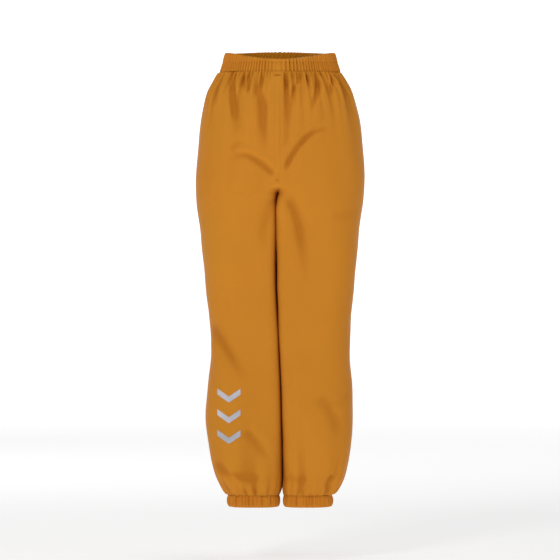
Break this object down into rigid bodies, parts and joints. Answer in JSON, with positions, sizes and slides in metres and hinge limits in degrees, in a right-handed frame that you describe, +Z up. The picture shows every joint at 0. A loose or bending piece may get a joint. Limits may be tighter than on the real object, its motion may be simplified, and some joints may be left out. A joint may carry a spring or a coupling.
{
  "type": "child's waterproof trousers",
  "caption": "Pull-on waterproof trousers with a gathered elastic waistband, full legs, elastic hem cuffs and a reflective print on one shin.",
  "frame": {"origin": "middle of the waist opening at the top edge of the waistband, behind and beside, where a hanger or the wearer's waist holds the trousers", "axes": "+Z up out of the waist opening, -Y out of the front of the trousers, +X towards the wearer's left"},
  "size_m": [0.2802, 0.1926, 0.75],
  "materials": {
    "shell_cloth": "satin",
    "casing_cloth": "satin",
    "elastic": "matte",
    "seam_tape": "satin",
    "thread": "matte",
    "label": "matte",
    "reflective_print": "satin"
  },
  "bodies": {
    "seat": {"fly_bartack": "thread", "front_seam_fell": "shell_cloth", "hip_back_left": "shell_cloth", "hip_back_right": "shell_cloth", "hip_front_left": "shell_cloth", "hip_front_right": "shell_cloth", "hip_side_tape_left": "seam_tape", "hip_side_tape_right": "seam_tape", "waist_elastic_back": "elastic", "waist_label": "label", "waistband_back": "casing_cloth"},
    "waist_front": {"waist_elastic_front": "elastic", "waistband_front": "casing_cloth"},
    "thigh_right": {"groin_fold_right": "shell_cloth", "knee_fold_right": "shell_cloth", "seat_fold_right": "shell_cloth", "thigh_back_right": "shell_cloth", "thigh_front_right": "shell_cloth", "thigh_inseam_tape_right": "seam_tape", "thigh_side_tape_right": "seam_tape"},
    "thigh_left": {"groin_fold_left": "shell_cloth", "knee_fold_left": "shell_cloth", "seat_fold_left": "shell_cloth", "thigh_back_left": "shell_cloth", "thigh_front_left": "shell_cloth", "thigh_inseam_tape_left": "seam_tape", "thigh_side_tape_left": "seam_tape"},
    "shin_right": {"cuff_back_right": "casing_cloth", "cuff_elastic_back_right": "elastic", "reflective_chevron_1": "reflective_print", "reflective_chevron_2": "reflective_print", "reflective_chevron_3": "reflective_print", "shin_back_right": "shell_cloth", "shin_front_right": "shell_cloth", "shin_inseam_tape_right": "seam_tape", "shin_side_tape_right": "seam_tape"},
    "shin_left": {"cuff_back_left": "casing_cloth", "cuff_elastic_back_left": "elastic", "shin_back_left": "shell_cloth", "shin_front_left": "shell_cloth", "shin_inseam_tape_left": "seam_tape", "shin_side_tape_left": "seam_tape"},
    "hem_front_right": {"cuff_elastic_front_right": "elastic", "cuff_front_right": "casing_cloth"},
    "hem_front_left": {"cuff_elastic_front_left": "elastic", "cuff_front_left": "casing_cloth"}
  },
  "joints": [
    {"name": "waist_stretch", "type": "slide", "parent": "seat", "child": "waist_front", "axis": [0, -1, 0], "range_m": [0, 0.045], "stiffness_N_per_m": 300},
    {"name": "hip_right", "type": "hinge", "parent": "seat", "child": "thigh_right", "pos_m": [-0.07, 0, -0.215], "axis": [-1, 0, 0], "range_deg": [-20, 70], "deforming": ["groin_fold_right", "seat_fold_right"]},
    {"name": "knee_right", "type": "hinge", "parent": "thigh_right", "child": "shin_right", "pos_m": [-0.058, 0, -0.48], "axis": [1, 0, 0], "range_deg": [0, 90], "deforming": ["knee_fold_right"]},
    {"name": "hem_stretch_right", "type": "slide", "parent": "shin_right", "child": "hem_front_right", "axis": [0, -1, 0], "range_m": [0, 0.015], "stiffness_N_per_m": 250},
    {"name": "hip_left", "type": "hinge", "parent": "seat", "child": "thigh_left", "pos_m": [0.07, 0, -0.215], "axis": [-1, 0, 0], "range_deg": [-20, 70], "deforming": ["groin_fold_left", "seat_fold_left"]},
    {"name": "knee_left", "type": "hinge", "parent": "thigh_left", "child": "shin_left", "pos_m": [0.058, 0, -0.48], "axis": [1, 0, 0], "range_deg": [0, 90], "deforming": ["knee_fold_left"]},
    {"name": "hem_stretch_left", "type": "slide", "parent": "shin_left", "child": "hem_front_left", "axis": [0, -1, 0], "range_m": [0, 0.015], "stiffness_N_per_m": 250}
  ]
}
